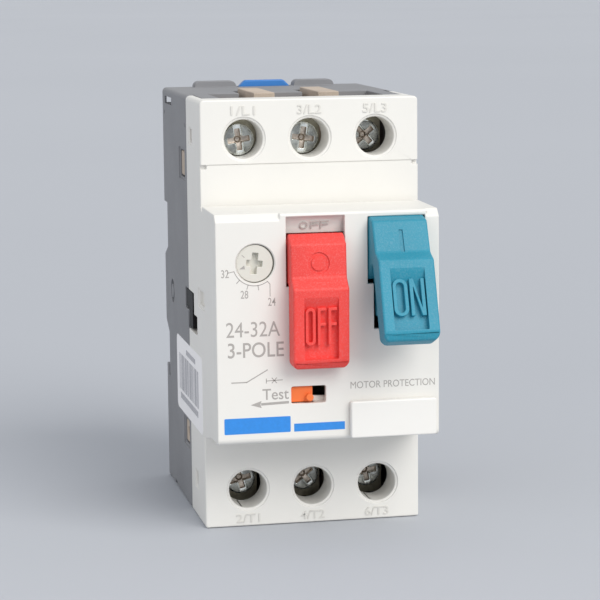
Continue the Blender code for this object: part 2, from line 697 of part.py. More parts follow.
def rail_latch(look, steel):
    """Slider in the back wall: a nose behind the rail's edge and a tab above the housing."""
    rim = HALF_H + LATCH_RIM
    points = [(-LATCH_HALF, 16.2), (LATCH_HALF, 16.2), (LATCH_HALF, HALF_H),
              (LATCH_HALF - 1.4, rim), (-LATCH_HALF + 1.4, rim), (-LATCH_HALF, HALF_H)]
    latch = cut(outline(points, "Y", (-3.1, -1.1)), box((-2.2, 2.2), (-5, 1), (26.0, 41.5)),
                outline([(-5, 15.0), (-0.5, 15.0), (-0.5, 17.4)], "X", (-8, 8)))
    name_part(latch, "rail_latch", look, (0, -2.1, HALF_H))
    spring = helix((0, -2.1), 0.75, 0.2, ("Z", 26.6, 36.9), 7, steps=8)
    name_part(spring, "rail_latch_spring", steel)


def build():
    steel = material("steel", STEEL, 0.35, 1.0)
    copper = material("copper", COPPER, 0.35, 1.0)
    base_housing(material("dark_grey", GREY))
    front_cover(material("white", WHITE, 0.45))
    inner_frame(material("tan", TAN, 0.7))
    marking_plate(material("plate_white", WHITE, 0.4))
    side_label(material("label", WHITE, 0.3))
    levers(material("red", RED, 0.5), material("teal", TEAL, 0.5))
    lever_pin(steel)
    adjustment_dial(material("dial", WHITE, 0.4))
    test_slide(material("orange", ORANGE, 0.5))
    trip_bar(material("bar", WHITE, 0.5))
    terminals(material("zinc", STEEL, 0.3, 1.0), material("clamp_steel", BRASS, 0.4, 1.0))
    current_path(copper)
    contact_carrier(material("carrier", BLACK, 0.5))
    coupling_lever(material("black", BLACK, 0.45))
    contact_springs(steel)
    trip_units(copper, steel, material("bimetal", STEEL, 0.4, 1.0))
    arc_chutes(steel)
    mechanism(steel, material("cam", BLACK, 0.5))
    rail_latch(material("blue", BLUE, 0.45), steel)


empty_scene()
PARTS = bpy.data.collections.new("motor_protection_breaker")
bpy.context.scene.collection.children.link(PARTS)
build()
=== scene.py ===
"""Looks of a motor protection breaker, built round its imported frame.

The front faces -Y and up is +Z.  Lengths here are millimetres, and MM turns them into the frame's
metres.  Each piece is made where the frame says, finished with its own material, and rides on the
body of the frame that carries it.
"""
import math
import random

import bmesh
import bpy
from mathutils import Matrix, Vector


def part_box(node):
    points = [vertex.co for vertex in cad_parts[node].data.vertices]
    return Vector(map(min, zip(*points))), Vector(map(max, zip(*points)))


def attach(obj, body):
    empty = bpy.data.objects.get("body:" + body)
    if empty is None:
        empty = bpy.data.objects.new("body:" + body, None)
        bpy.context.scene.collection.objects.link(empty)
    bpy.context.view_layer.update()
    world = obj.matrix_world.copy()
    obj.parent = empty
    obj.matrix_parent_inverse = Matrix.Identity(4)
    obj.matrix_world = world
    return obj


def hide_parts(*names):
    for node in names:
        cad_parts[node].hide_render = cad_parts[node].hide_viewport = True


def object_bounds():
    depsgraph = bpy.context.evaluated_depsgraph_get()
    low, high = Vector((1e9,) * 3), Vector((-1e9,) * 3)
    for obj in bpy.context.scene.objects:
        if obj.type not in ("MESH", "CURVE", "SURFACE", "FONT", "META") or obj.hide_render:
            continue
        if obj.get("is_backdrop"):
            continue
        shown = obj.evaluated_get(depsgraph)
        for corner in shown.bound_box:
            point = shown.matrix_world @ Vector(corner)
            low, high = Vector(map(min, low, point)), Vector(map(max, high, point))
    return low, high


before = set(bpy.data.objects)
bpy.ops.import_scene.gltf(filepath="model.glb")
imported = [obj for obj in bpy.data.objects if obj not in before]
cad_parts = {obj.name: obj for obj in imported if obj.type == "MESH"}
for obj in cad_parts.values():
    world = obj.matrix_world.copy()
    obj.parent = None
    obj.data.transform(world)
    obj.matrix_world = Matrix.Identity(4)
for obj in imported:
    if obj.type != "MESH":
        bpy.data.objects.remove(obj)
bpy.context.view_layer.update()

MM = 0.001


def span(node, axis):
    """Lowest and highest value of a node of the frame on one axis, in millimetres."""
    low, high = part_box(node)
    index = "XYZ".index(axis)
    return low[index] / MM, high[index] / MM


def middle(node, axis):
    return sum(span(node, axis)) / 2


# Housing
HALF_W = span("front_cover", "X")[1]
HALF_H = span("front_cover", "Z")[1]
FRONT_Y, SEAM_Y = span("front_cover", "Y")
BACK_Y = span("base_housing", "Y")[1]
GAP = 0.3
WALL = 1.6
THIN_WALL = 1.2
TOP_CORNER = 0.9
BOTTOM_CORNER = 0.45
SOFT_EDGE = 0.3
FINE_EDGE = 0.12
TERMINAL_Y = -51.8
LID_BACK_Y = -45.3
COVER_TOP = 22.65
COVER_BOTTOM = -24.65
LEDGE_CHAMFER = 1.4
CHAMFER_ENDS = (-9.65, 19.9)
UPPER_BAND_Z = 30.85
UPPER_BAND_STEP = 0.14
INNER_HALF = HALF_W - WALL
BEYOND = 50.0            # past the housing on every side that is cut open
COUPLING_STEPS = (((-40.6, -29.0), (-1.2, 3.3)), ((-44.5, -33.2), (-5.0, -1.1)))

# Rear shell
RECESS_DEPTH = 4.4
RECESS_TOP = 18.65
RECESS_BOTTOM = -20.5
FLANK_TOP = 8.9
FLANK_BOTTOM = -10.4
RIB_TOP = 6.85
RIB_BOTTOM = -7.85
BACK_WALL = 6.0
CHANNEL_HALF = 6.0

# Terminals
POLE_X = [middle(f"upper_screw_{n}", "X") for n in (1, 2, 3)]
BARRIER_X = [(POLE_X[0] + POLE_X[1]) / 2, (POLE_X[1] + POLE_X[2]) / 2]
WELL_Z = {1: 35.9, -1: -36.2}
WELL_RADIUS = 3.9
WELL_RING = 4.45
WELL_TUBE = 4.9
WELL_BOTTOM_Y = -44.4
HEAD_RADIUS = 3.2
HEAD_THICK = 2.4
SHANK_RADIUS = 2.0
SHANK_LENGTH = 15.2
HEAD_TURNS = {"upper": (82, 98, 48), "lower": (75, 52, 80)}
MARK_X = (-2.6, 2.4)
UPPER_MARK_Z = (40.75, 42.6)
LOWER_MARK_Z = (-43.1, -41.3)
MARK_RELIEF = 0.17

# Levers
PIVOT_Y = middle("lever_pin", "Y")
PIVOT_Z = middle("lever_pin", "Z")
PIN_BORE = 1.3
LEVER_HALF = 5.6
TONGUE_HALF = 4.15
OFF_X = middle("off_lever", "X")
ON_X = middle("on_lever", "X")
SWING = math.radians(20.7)
SLOT_TOP = 21.8
ON_SLOT_TOP = SLOT_TOP - 0.4
ON_SLOT_GAP = 0.18
SLOT_STEP = 8.0
SLOT_BOTTOM = -1.05
LEVER_BOTTOM = -7.95
PAD_HOLLOW_HALF = 3.45
PAD_HOLLOW_Z = (-5.85, 7.3)
LETTER_Z = (-3.05, 4.35)
LETTER_Y = (-73.45, -72.0)
HEAD_FACE = (-71.48, 12.9)        # Y and Z of the middle of a pressed head's slope
HEAD_LEAN = math.radians(4.4)
WALL_LETTER_Z = (19.15, 20.75)
WALL_LETTER_WIDTH = 0.25

# Front controls
DIAL_X = middle("adjustment_dial", "X")
DIAL_Z = 12.82
DIAL_RADIUS = 3.5
DIAL_HOLE = 3.8
DIAL_HOLE_X = DIAL_X + 0.13
DIAL_FACE = span("adjustment_dial", "Y")[0]
WINDOW_X = (-7.7, -0.7)
WINDOW_Z = (-15.4, -11.95)
PLATE_X = span("marking_plate", "X")
PLATE_Z = span("marking_plate", "Z")
PEG_X = (8.5, 17.5)
PEG_Z = -19.0
PRINT_PROUD = 0.02
PRINT_DEPTH = 0.03
LINE = 0.16

# Shading
SHARP_ANGLE = math.radians(48)
SQUARE_ON = 0.9995       # a face counts as square to an axis above this part of its normal
FLAT_SQUARE_AREA = 3.0 * MM * MM
FLAT_AREA = 50.0 * MM * MM

# Camera, in metres
LENS = 134.75
EYE = (-0.09349, -0.49603, 0.07053)
EYE_RIGHT = (0.97926, -0.20236, -0.00973)
EYE_UP = (0.03933, 0.14276, 0.98898)


# ---------------------------------------------------------------- shapes

def place_object(name, mesh):
    obj = bpy.data.objects.new(name, mesh)
    bpy.context.scene.collection.objects.link(obj)
    return obj


def from_work(work, name="shape"):
    mesh = bpy.data.meshes.new(name)
    work.to_mesh(mesh)
    work.free()
    return place_object(name, mesh)


def box(x, y, z):
    low = Vector((min(x), min(y), min(z))) * MM
    high = Vector((max(x), max(y), max(z))) * MM
    work = bmesh.new()
    fit = Matrix.Translation((low + high) / 2) @ Matrix.Diagonal((*(high - low), 1.0))
    bmesh.ops.create_cube(work, size=1.0, matrix=fit)
    return from_work(work)


def cylinder(axis, centre, radius, ends, end_radius=None, segments=64):
    """A cylinder or cone along an axis.  centre holds the two other coordinates, in X, Y, Z order."""
    index = "XYZ".index(axis)
    at = list(centre)
    at.insert(index, (ends[0] + ends[1]) / 2)
    turn = {"X": Matrix.Rotation(math.pi / 2, 4, "Y"), "Y": Matrix.Rotation(-math.pi / 2, 4, "X"),
            "Z": Matrix.Identity(4)}[axis]
    work = bmesh.new()
    bmesh.ops.create_cone(work, cap_ends=True, segments=segments, radius1=radius * MM,
                          radius2=(end_radius or radius) * MM, depth=abs(ends[1] - ends[0]) * MM,
                          matrix=Matrix.Translation(Vector(at) * MM) @ turn)
    return from_work(work)


def mesh_of(obj):
    """The evaluated mesh of an object, as a new mesh."""
    bpy.context.view_layer.update()
    graph = bpy.context.evaluated_depsgraph_get()
    return bpy.data.meshes.new_from_object(obj.evaluated_get(graph))


def curve_to_mesh(obj, weld=0.005):
    mesh = mesh_of(obj)
    work = bmesh.new()
    work.from_mesh(mesh)
    bmesh.ops.remove_doubles(work, verts=work.verts, dist=weld * MM)
    work.transform(obj.matrix_world)
    bmesh.ops.recalc_face_normals(work, faces=work.faces)
    if work.calc_volume(signed=True) < 0:
        bmesh.ops.reverse_faces(work, faces=work.faces)
    bpy.data.objects.remove(obj, do_unlink=True)
    return from_work(work)


def outline(loops, axis, ends):
    """Flat outlines extruded along an axis; a loop inside another is a hole.

    The two coordinates are (Y, Z) along X, (X, Z) along Y and (X, Y) along Z.
    """
    if isinstance(loops[0][0], (int, float)):
        loops = [loops]
    curve = bpy.data.curves.new("outline", "CURVE")
    curve.dimensions = "2D"
    curve.fill_mode = "BOTH"
    curve.extrude = abs(ends[1] - ends[0]) / 2 * MM
    for points in loops:
        spline = curve.splines.new("POLY")
        spline.points.add(len(points) - 1)
        for target, (first, second) in zip(spline.points, points):
            target.co = (first * MM, second * MM, 0.0, 1.0)
        spline.use_cyclic_u = True
    turned = {"X": ((0, 0, 1), (1, 0, 0), (0, 1, 0)), "Y": ((1, 0, 0), (0, 0, -1), (0, 1, 0)),
              "Z": ((1, 0, 0), (0, 1, 0), (0, 0, 1))}[axis]
    obj = place_object("outline", curve)
    at = [0.0, 0.0, 0.0]
    at["XYZ".index(axis)] = (ends[0] + ends[1]) / 2 * MM
    obj.matrix_world = Matrix.Translation(at) @ Matrix(turned).to_4x4()
    bpy.context.view_layer.update()
    return curve_to_mesh(obj)


def arc(centre, radius, start, end, steps=8):
    """Points on an arc, with the angles in degrees from the first axis towards the second."""
    return [(centre[0] + radius * math.cos(math.radians(start + (end - start) * i / steps)),
             centre[1] + radius * math.sin(math.radians(start + (end - start) * i / steps)))
            for i in range(steps + 1)]


def rounded_rect(first, second, radius, steps=6):
    """The corners of a rectangle as quarter arcs.  radius is one number, or lower and upper ones."""
    low_r, high_r = radius if isinstance(radius, tuple) else (radius, radius)
    (a, b), (c, d) = sorted(first), sorted(second)
    return (arc((b - low_r, c + low_r), low_r, -90, 0, steps)
            + arc((b - high_r, d - high_r), high_r, 0, 90, steps)
            + arc((a + high_r, d - high_r), high_r, 90, 180, steps)
            + arc((a + low_r, c + low_r), low_r, 180, 270, steps))


def combine(target, others, operation):
    for other in others:
        step = target.modifiers.new(operation.lower(), "BOOLEAN")
        step.operation = operation
        step.solver = "EXACT"
        step.object = other
    mesh = mesh_of(target)
    target.modifiers.clear()
    target.data = mesh
    for other in others:
        bpy.data.objects.remove(other, do_unlink=True)
    return target


def join(target, *others):
    return combine(target, others, "UNION")


def cut(target, *others):
    return combine(target, others, "DIFFERENCE")


def common(target, *others):
    return combine(target, others, "INTERSECT")


def tidy_mesh(obj, split=False):
    """Welds the mesh and merges the flat faces of each plane, or splits them at inner corners."""
    work = bmesh.new()
    work.from_mesh(obj.data)
    bmesh.ops.remove_doubles(work, verts=work.verts, dist=0.004 * MM)
    bmesh.ops.dissolve_limit(work, angle_limit=math.radians(0.6), verts=work.verts,
                             edges=work.edges)
    if split:
        bmesh.ops.connect_verts_concave(work, faces=work.faces)
    work.to_mesh(obj.data)
    work.free()
    return obj


def round_edges(obj, width, segments=2, angle=32, split=False):
    """Rounds every edge sharper than the angle."""
    tidy_mesh(obj, split)
    step = obj.modifiers.new("round", "BEVEL")
    step.width = width * MM
    step.segments = segments
    step.limit_method = "ANGLE"
    step.angle_limit = math.radians(angle)
    step.use_clamp_overlap = False
    step.miter_outer = "MITER_ARC"
    mesh = mesh_of(obj)
    obj.modifiers.clear()
    obj.data = mesh
    return obj


def turn_about(obj, pivot, angle, axis="X"):
    """Turns a mesh about a line through pivot, along an axis."""
    at = Matrix.Translation(Vector(pivot) * MM)
    obj.data.transform(at @ Matrix.Rotation(angle, 4, axis) @ at.inverted())
    return obj


def merge(name, objects):
    """One object that holds the separate solids of several."""
    work = bmesh.new()
    for obj in objects:
        work.from_mesh(obj.data)
        bpy.data.objects.remove(obj, do_unlink=True)
    return from_work(work, name)


def copy_node(node):
    """The mesh of a node of the frame, in a new object."""
    return tidy_mesh(place_object("copy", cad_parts[node].data.copy()))


def finish(obj, name, look, body, slot, *nodes):
    """Names a piece, gives it its material and shading, and lets it ride on its body.

    Large flat faces are shaded flat, so that the rounded edges beside them don't tint them.
    """
    obj.name = name
    obj.data.name = name
    obj.data.materials.clear()
    obj.data.materials.append(look)
    obj.data.shade_smooth()
    obj.data.set_sharp_from_angle(angle=SHARP_ANGLE)
    for face in obj.data.polygons:
        square = max(abs(n) for n in face.normal) > SQUARE_ON
        face.use_smooth = face.area < (FLAT_SQUARE_AREA if square else FLAT_AREA)
    normals = obj.modifiers.new("normals", "WEIGHTED_NORMAL")
    normals.keep_sharp = True
    normals.weight = 80
    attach(obj, body)
    if nodes:
        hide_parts(*nodes)
    return obj


# ---------------------------------------------------------------- lettering

def words(text, x, z, face, depth=PRINT_DEPTH, proud=PRINT_PROUD, bold=0.006):
    """Upright lettering that faces -Y and fills the box between two values of x and of z."""
    curve = bpy.data.curves.new("words", "FONT")
    curve.body = text
    curve.offset = bold
    curve.extrude = 0.5
    curve.resolution_u = 6
    mesh = curve_to_mesh(place_object("words", curve), weld=0.001)
    low = [min(v.co[i] for v in mesh.data.vertices) for i in range(2)]
    high = [max(v.co[i] for v in mesh.data.vertices) for i in range(2)]
    wide = (x[1] - x[0]) * MM / (high[0] - low[0])
    tall = (z[1] - z[0]) * MM / (high[1] - low[1])
    fit = Matrix(((wide, 0, 0, x[0] * MM - low[0] * wide),
                  (0, 0, -depth * MM, (face - proud + depth / 2) * MM),
                  (0, tall, 0, z[0] * MM - low[1] * tall),
                  (0, 0, 0, 1)))
    mesh.data.transform(fit)
    return mesh


def stroke(start, end, width, face=FRONT_Y):
    """A straight printed line between two (X, Z) points on a plane that faces -Y."""
    a, b = Vector(start), Vector(end)
    side = (b - a).normalized().orthogonal() * width / 2
    points = [tuple(a + side), tuple(b + side), tuple(b - side), tuple(a - side)]
    return outline(points, "Y", (face - PRINT_PROUD, face - PRINT_PROUD + PRINT_DEPTH))


def band(centre, radius, width, start, end):
    """A printed arc on the front face."""
    points = (arc(centre, radius + width / 2, start, end, 24)
              + arc(centre, radius - width / 2, end, start, 24))
    return outline(points, "Y", (FRONT_Y - PRINT_PROUD, FRONT_Y - PRINT_PROUD + PRINT_DEPTH))


def letter_o(x, z, width):
    """An upright oval ring, as two loops."""
    outer = rounded_rect(x, z, (x[1] - x[0]) / 2 - 0.01, 12)
    inner = rounded_rect((x[0] + width, x[1] - width), (z[0] + width, z[1] - width),
                         (x[1] - x[0]) / 2 - width - 0.01, 12)
    return [outer, inner]


def letter_f(x, z, width):
    (a, b), (c, d) = x, z
    bar = c + (d - c) * 0.56
    return [[(a, c), (a + width, c), (a + width, bar - width / 2), (b - 0.08, bar - width / 2),
             (b - 0.08, bar + width / 2), (a + width, bar + width / 2), (a + width, d - width),
             (b, d - width), (b, d), (a, d)]]


def letter_n(x, z, width):
    (a, b), (c, d) = x, z
    lean = width * 1.15
    return [[(a, c), (a + width, c), (a + width, d - 2.2 * width), (b - lean, c), (b, c), (b, d),
             (b - width, d), (b - width, c + 2.2 * width), (a + lean, d), (a, d)]]


# ---------------------------------------------------------------- materials

class Shader:
    """A material and a few short ways to add nodes to it."""

    def __init__(self, name, roughness, metallic=0.0, specular=0.5):
        self.material = bpy.data.materials.new(name)
        self.material.use_nodes = True
        self.nodes = self.material.node_tree.nodes
        self.links = self.material.node_tree.links
        self.shader = self.nodes["Principled BSDF"]
        self.set("Roughness", roughness)
        self.set("Metallic", metallic)
        self.set("Specular IOR Level", specular)
        self.place = self.nodes.new("ShaderNodeTexCoord").outputs["Object"]

    def set(self, socket, value):
        self.shader.inputs[socket].default_value = value

    def link(self, output, socket):
        self.links.new(output, self.shader.inputs[socket])

    def noise(self, scale, detail=4.0, rough=0.55, stretch=None):
        """Noise whose scale is in cells to the millimetre."""
        node = self.nodes.new("ShaderNodeTexNoise")
        node.inputs["Scale"].default_value = scale / MM
        node.inputs["Detail"].default_value = detail
        node.inputs["Roughness"].default_value = rough
        source = self.place
        if stretch:
            mapping = self.nodes.new("ShaderNodeMapping")
            mapping.inputs["Scale"].default_value = stretch
            self.links.new(self.place, mapping.inputs["Vector"])
            source = mapping.outputs["Vector"]
        self.links.new(source, node.inputs["Vector"])
        return node.outputs["Fac"]

    def ramp(self, value, *stops):
        """Colours along a value; each stop is (position, colour)."""
        node = self.nodes.new("ShaderNodeValToRGB")
        for i, (position, colour) in enumerate(stops):
            stop = node.color_ramp.elements[i] if i < 2 else node.color_ramp.elements.new(position)
            stop.position = position
            stop.color = (*colour, 1.0)
        self.links.new(value, node.inputs["Fac"])
        return node.outputs["Color"]

    def blend(self, amount, first, second):
        """Mixes two colours; each is an output or three numbers."""
        node = self.nodes.new("ShaderNodeMix")
        node.data_type = "RGBA"
        for socket, source in (("A", first), ("B", second)):
            plug = next(s for s in node.inputs if s.name == socket and s.type == "RGBA")
            if isinstance(source, tuple):
                plug.default_value = (*source, 1.0)
            else:
                self.links.new(source, plug)
        self.links.new(amount, node.inputs["Factor"])
        return next(s for s in node.outputs if s.type == "RGBA")

    def scaled(self, value, low, high, start=0.0, end=1.0):
        node = self.nodes.new("ShaderNodeMapRange")
        for socket, number in (("From Min", low), ("From Max", high), ("To Min", start), ("To Max", end)):
            node.inputs[socket].default_value = number
        self.links.new(value, node.inputs["Value"])
        return node.outputs["Result"]

    def bump(self, value, height):
        node = self.nodes.new("ShaderNodeBump")
        node.inputs["Strength"].default_value = 1.0
        node.inputs["Distance"].default_value = height * MM
        self.links.new(value, node.inputs["Height"])
        self.link(node.outputs["Normal"], "Normal")


def shade(colour, factor):
    return tuple(min(1.0, c * factor) for c in colour)


def moulded(name, colour, roughness=0.5, grain=0.012, mottle=0.05, speckle=0.0, gloss=0.5):
    """Moulded plastic: a fine spark-eroded grain, faint flow marks, and optional glass speckle."""
    made = Shader(name, roughness, specular=gloss)
    flow = made.noise(0.09, 3.0, 0.5)
    base = made.ramp(flow, (0.3, shade(colour, 1.0 - mottle)), (0.7, shade(colour, 1.0 + mottle)))
    fine = made.noise(2.6, 6.0, 0.65)
    if speckle:
        flecks = made.scaled(made.noise(3.2, 5.0, 0.7), 0.48, 0.72, 0.0, speckle)
        base = made.blend(flecks, base, shade(tuple(0.5 * c + 0.5 for c in colour), 0.9))
    made.link(base, "Base Color")
    made.link(made.scaled(fine, 0.3, 0.7, roughness - 0.06, roughness + 0.06), "Roughness")
    made.bump(fine, grain)
    return made.material


def metal(name, colour, second, roughness):
    """Plated metal: patches of two tints, and fine rolling marks."""
    made = Shader(name, roughness, metallic=1.0)
    patches = made.noise(0.55, 3.0, 0.6)
    made.link(made.ramp(patches, (0.38, second), (0.62, colour)), "Base Color")
    marks = made.noise(1.4, 5.0, 0.7, stretch=(1.0, 0.35, 2.6))
    made.link(made.scaled(marks, 0.3, 0.7, roughness - 0.1, roughness + 0.12), "Roughness")
    made.bump(marks, 0.004)
    return made.material


def ink(name, colour):
    """Pad-printed ink, a little thin in places."""
    made = Shader(name, 0.55)
    cover = made.noise(1.2, 5.0, 0.7)
    made.link(made.ramp(cover, (0.25, shade(colour, 1.12)), (0.6, colour)), "Base Color")
    made.bump(cover, 0.003)
    return made.material


WHITE = moulded("white_plastic", (0.80, 0.785, 0.745), 0.42, 0.006, 0.012)
GREY = moulded("grey_plastic", (0.24, 0.242, 0.255), 0.62, 0.02, 0.05)
TAN = moulded("tan_moulding", (0.50, 0.41, 0.33), 0.7, 0.03, 0.12, 0.25)
PLATE = moulded("plate_plastic", (0.84, 0.825, 0.79), 0.36, 0.004, 0.01)
RED = moulded("red_plastic", (0.80, 0.06, 0.05), 0.5, 0.04, 0.09, 0.2, 0.35)
TEAL = moulded("teal_plastic", (0.02, 0.262, 0.378), 0.5, 0.03, 0.06, 0.14, 0.4)
BLUE = moulded("blue_plastic", (0.03, 0.19, 0.54), 0.45, 0.012, 0.04)
ORANGE = moulded("orange_plastic", (0.93, 0.20, 0.045), 0.42, 0.01, 0.05)
BLACK = moulded("black_plastic", (0.012, 0.012, 0.013), 0.5, 0.012, 0.1, 0.0, 0.15)
DIAL = moulded("dial_plastic", (0.70, 0.685, 0.62), 0.4, 0.006, 0.03)
LABEL = moulded("label_paper", (0.98, 0.96, 0.96), 0.35, 0.003, 0.02)
ZINC = metal("zinc_steel", (0.95, 0.98, 0.96), (0.70, 0.74, 0.71), 0.26)
# the darker metal on the screw heads' front-facing flat quarters is a painted dark reflection
ZINC_DARK_REFLECTION = metal("zinc_painted_dark_reflection", (0.52, 0.54, 0.51), (0.28, 0.29, 0.28), 0.32)
# the darker, browner metal inside the screw drives is painted shade
RECESS = metal("zinc_recess_painted_shade", (0.78, 0.69, 0.60), (0.42, 0.37, 0.32), 0.4)
CLAMP = metal("clamp_steel", (0.52, 0.49, 0.38), (0.40, 0.37, 0.28), 0.42)
STEEL = metal("spring_steel", (0.48, 0.48, 0.48), (0.36, 0.36, 0.36), 0.35)
BIMETAL = metal("bimetal_strip", (0.55, 0.55, 0.50), (0.42, 0.41, 0.36), 0.38)
COPPER = metal("copper", (0.78, 0.38, 0.24), (0.55, 0.24, 0.14), 0.34)
# the wall word is white moulding; its darker colour is painted shade for its small relief
LETTERING_SHADE = moulded("white_lettering_painted_shade", (0.56, 0.53, 0.50), 0.5, 0.006, 0.02)
# the terminal marks are white moulding; their darker colour is painted shade for their small relief
MARKS_SHADE = moulded("raised_marks_painted_shade", (0.70, 0.685, 0.645), 0.45, 0.006, 0.012)
GREY_INK = ink("grey_ink", (0.39, 0.37, 0.35))
LABEL_INK = ink("label_ink", (0.33, 0.33, 0.36))
BLUE_INK = ink("blue_ink", (0.025, 0.24, 0.70))


# ---------------------------------------------------------------- cover

def smooth_step(start, end, low, high, steps=8):
    """Points of a soft S from one level to another."""
    points = []
    for i in range(steps + 1):
        t = i / steps
        points.append((start + (end - start) * t, low + (high - low) * t * t * (3 - 2 * t)))
    return points


def centre_profile():
    """Side view (Y, Z) of the centre cover: a level ledge on top and a soft step underneath."""
    inside = TERMINAL_Y + 0.8
    top = COVER_TOP - 0.15
    return [(inside, COVER_TOP), (FRONT_Y + SOFT_EDGE, top), (FRONT_Y, top - SOFT_EDGE),
            *arc((FRONT_Y + 1.1, COVER_BOTTOM + 2.6), 1.1, 180, 270, 6),
            *smooth_step(FRONT_Y + 7.2, TERMINAL_Y - 1.0, COVER_BOTTOM + 1.4, COVER_BOTTOM + 0.1),
            (inside, COVER_BOTTOM)]


def ledge_chamfers():
    top = COVER_TOP - 0.15
    wedge = [(FRONT_Y - 1.0, top - LEDGE_CHAMFER - 1.0), (FRONT_Y + LEDGE_CHAMFER + 1.0, top + 1.0),
             (FRONT_Y - 1.0, top + 1.0)]
    return [outline(wedge, "X", (-HALF_W - 1, CHAMFER_ENDS[0])),
            outline(wedge, "X", (CHAMFER_ENDS[1], HALF_W + 1))]


def upper_band():
    """The band under the upper terminals lies a little back, with a notch at each end."""
    low = [box((-HALF_W - 1, HALF_W + 1), (TERMINAL_Y - 1, TERMINAL_Y + UPPER_BAND_STEP),
               (COVER_TOP - 1, UPPER_BAND_Z))]
    for side in (-1, 1):
        low.append(box((side * (HALF_W - 1.25), side * (HALF_W + 1)),
                       (TERMINAL_Y - 1.1, TERMINAL_Y + 0.9), (UPPER_BAND_Z - 0.85, UPPER_BAND_Z + 0.02)))
    return low


def well_cutters():
    cutters = []
    for side in (1, -1):
        for x in POLE_X:
            spot = (x, WELL_Z[side])
            cutters.append(cylinder("Y", spot, WELL_RADIUS, (TERMINAL_Y - 2, WELL_BOTTOM_Y + 2)))
            cutters.append(cylinder("Y", spot, WELL_RING, (TERMINAL_Y - 0.8, TERMINAL_Y + 0.3)))
            cutters.append(cylinder("Y", spot, WELL_RADIUS + 0.35, (TERMINAL_Y, TERMINAL_Y + 0.75),
                                    WELL_RADIUS - 0.05))
    return cutters


def slot_cutters():
    """The stepped slots of the two levers, and the bore of their pin."""
    cutters = [cylinder("X", (PIVOT_Y, PIVOT_Z), PIN_BORE, (-12, 20.6), segments=32)]
    for x, top, gap in ((OFF_X, SLOT_TOP, GAP), (ON_X, ON_SLOT_TOP, ON_SLOT_GAP)):
        wide = (x - LEVER_HALF - gap, x + LEVER_HALF + GAP)
        narrow = (x - TONGUE_HALF - 0.4, x + TONGUE_HALF + 0.45)
        shape = [(wide[0], top), (wide[0], SLOT_STEP), (narrow[0], SLOT_STEP), (narrow[0], SLOT_BOTTOM),
                 (narrow[1], SLOT_BOTTOM), (narrow[1], SLOT_STEP), (wide[1], SLOT_STEP), (wide[1], top)]
        cutters.append(outline(shape, "Y", (FRONT_Y - 2, -63.8)))
    return cutters


def front_openings():
    """The test window, the hole of the dial with its rim, and the two peg holes of the plate."""
    window = outline(rounded_rect(WINDOW_X, WINDOW_Z, 0.4), "Y", (FRONT_Y - 2, -66))
    dial = cylinder("Y", (DIAL_HOLE_X, DIAL_Z), DIAL_HOLE + 0.05, (FRONT_Y - 2, -66))
    rim = cylinder("Y", (DIAL_HOLE_X, DIAL_Z), DIAL_HOLE + 0.15, (FRONT_Y - 1, FRONT_Y + 0.12))
    pegs = [cylinder("Y", (x, PEG_Z), 1.5, (FRONT_Y - 2, -66), segments=32) for x in PEG_X]
    return [window, dial, rim, *pegs]


def left_wall(y, z, depth=WALL + 0.5):
    """A cutter through the left wall, or only part of the way into it."""
    return box((-HALF_W - 1, -HALF_W + depth), y, z)


def coupling_opening():
    return [left_wall(y, z) for y, z in COUPLING_STEPS]


def cover_side_windows():
    """Three small windows of the cover's left side, each with a shallow rim."""
    cutters = [left_wall((-40.5, -37.3), (34.45, 37.25)), left_wall((-41.9, -39.2), (-37.35, -34.35)),
               left_wall((-53.7, -46.6), (1.95, 4.95), 1.0), left_wall((-53.5, -51.7), (2.15, 4.75))]
    rims = [left_wall((-40.9, -36.9), (34.05, 37.65), 0.25),
            left_wall((-42.3, -38.8), (-37.75, -33.95), 0.25),
            left_wall((-54.3, -46.0), (1.5, 5.4), 0.3)]
    return cutters + rims


def pressed_wall(x):
    """The hollow wall above a lever, which a pressed lever leaves in view."""
    hollow = [(FRONT_Y + 0.05, SLOT_TOP + 0.1), (-67.45, 21.5), (-66.97, 20.9), (-66.6, 20.1),
              (-66.4, 19.4), (-66.25, 18.3), (-65.0, 18.3), (-65.0, SLOT_TOP + 0.1)]
    return outline(hollow, "X", (x - LEVER_HALF - 0.6, x + LEVER_HALF + 0.6))


def cover():
    blocks = outline(rounded_rect((-HALF_W, HALF_W), (-HALF_H, HALF_H), (BOTTOM_CORNER, TOP_CORNER)), "Y",
                     (TERMINAL_Y, SEAM_Y))
    round_edges(blocks, SOFT_EDGE, 3)
    centre = cut(outline(centre_profile(), "X", (-HALF_W, HALF_W)), *ledge_chamfers())
    round_edges(centre, SOFT_EDGE * 0.7, 3, 40)
    shell = cut(join(blocks, centre), *upper_band())
    across = (-INNER_HALF, INNER_HALF)
    hollow = box(across, (TERMINAL_Y + WALL, SEAM_Y + 6), (-HALF_H + WALL, HALF_H - WALL))
    front_hollow = box(across, (FRONT_Y + THIN_WALL, TERMINAL_Y + 4),
                       (COVER_BOTTOM + 2.8, COVER_TOP - THIN_WALL))
    lid_edge = box(across, (LID_BACK_Y, SEAM_Y + 6), (-BEYOND, BEYOND))
    shell = cut(shell, hollow, front_hollow, lid_edge)
    tubes = [cylinder("Y", (x, WELL_Z[side]), WELL_TUBE, (TERMINAL_Y + 0.8, WELL_BOTTOM_Y))
             for side in (1, -1) for x in POLE_X]
    ribs = [box(x, (PIVOT_Y - 4.5, PIVOT_Y + 3.0), (PIVOT_Z - 3.5, COVER_TOP - 0.6))
            for x in ((-9.7, -8.8), (5.0, 6.2), (19.95, 21.2))]
    ledge = box((-2.9, 0.2), (FRONT_Y + THIN_WALL - 0.2, -65.9), (-16.0, -14.25))
    shell = join(shell, *tubes, *ribs, ledge)
    shell = cut(shell, *well_cutters(), *slot_cutters(), *front_openings(), *coupling_opening(),
                *cover_side_windows())
    shell = join(shell, pressed_wall(OFF_X), pressed_wall(ON_X))
    return finish(round_edges(shell, FINE_EDGE), "cover_shell", WHITE, "housing", "white_plastic",
                  "front_cover")


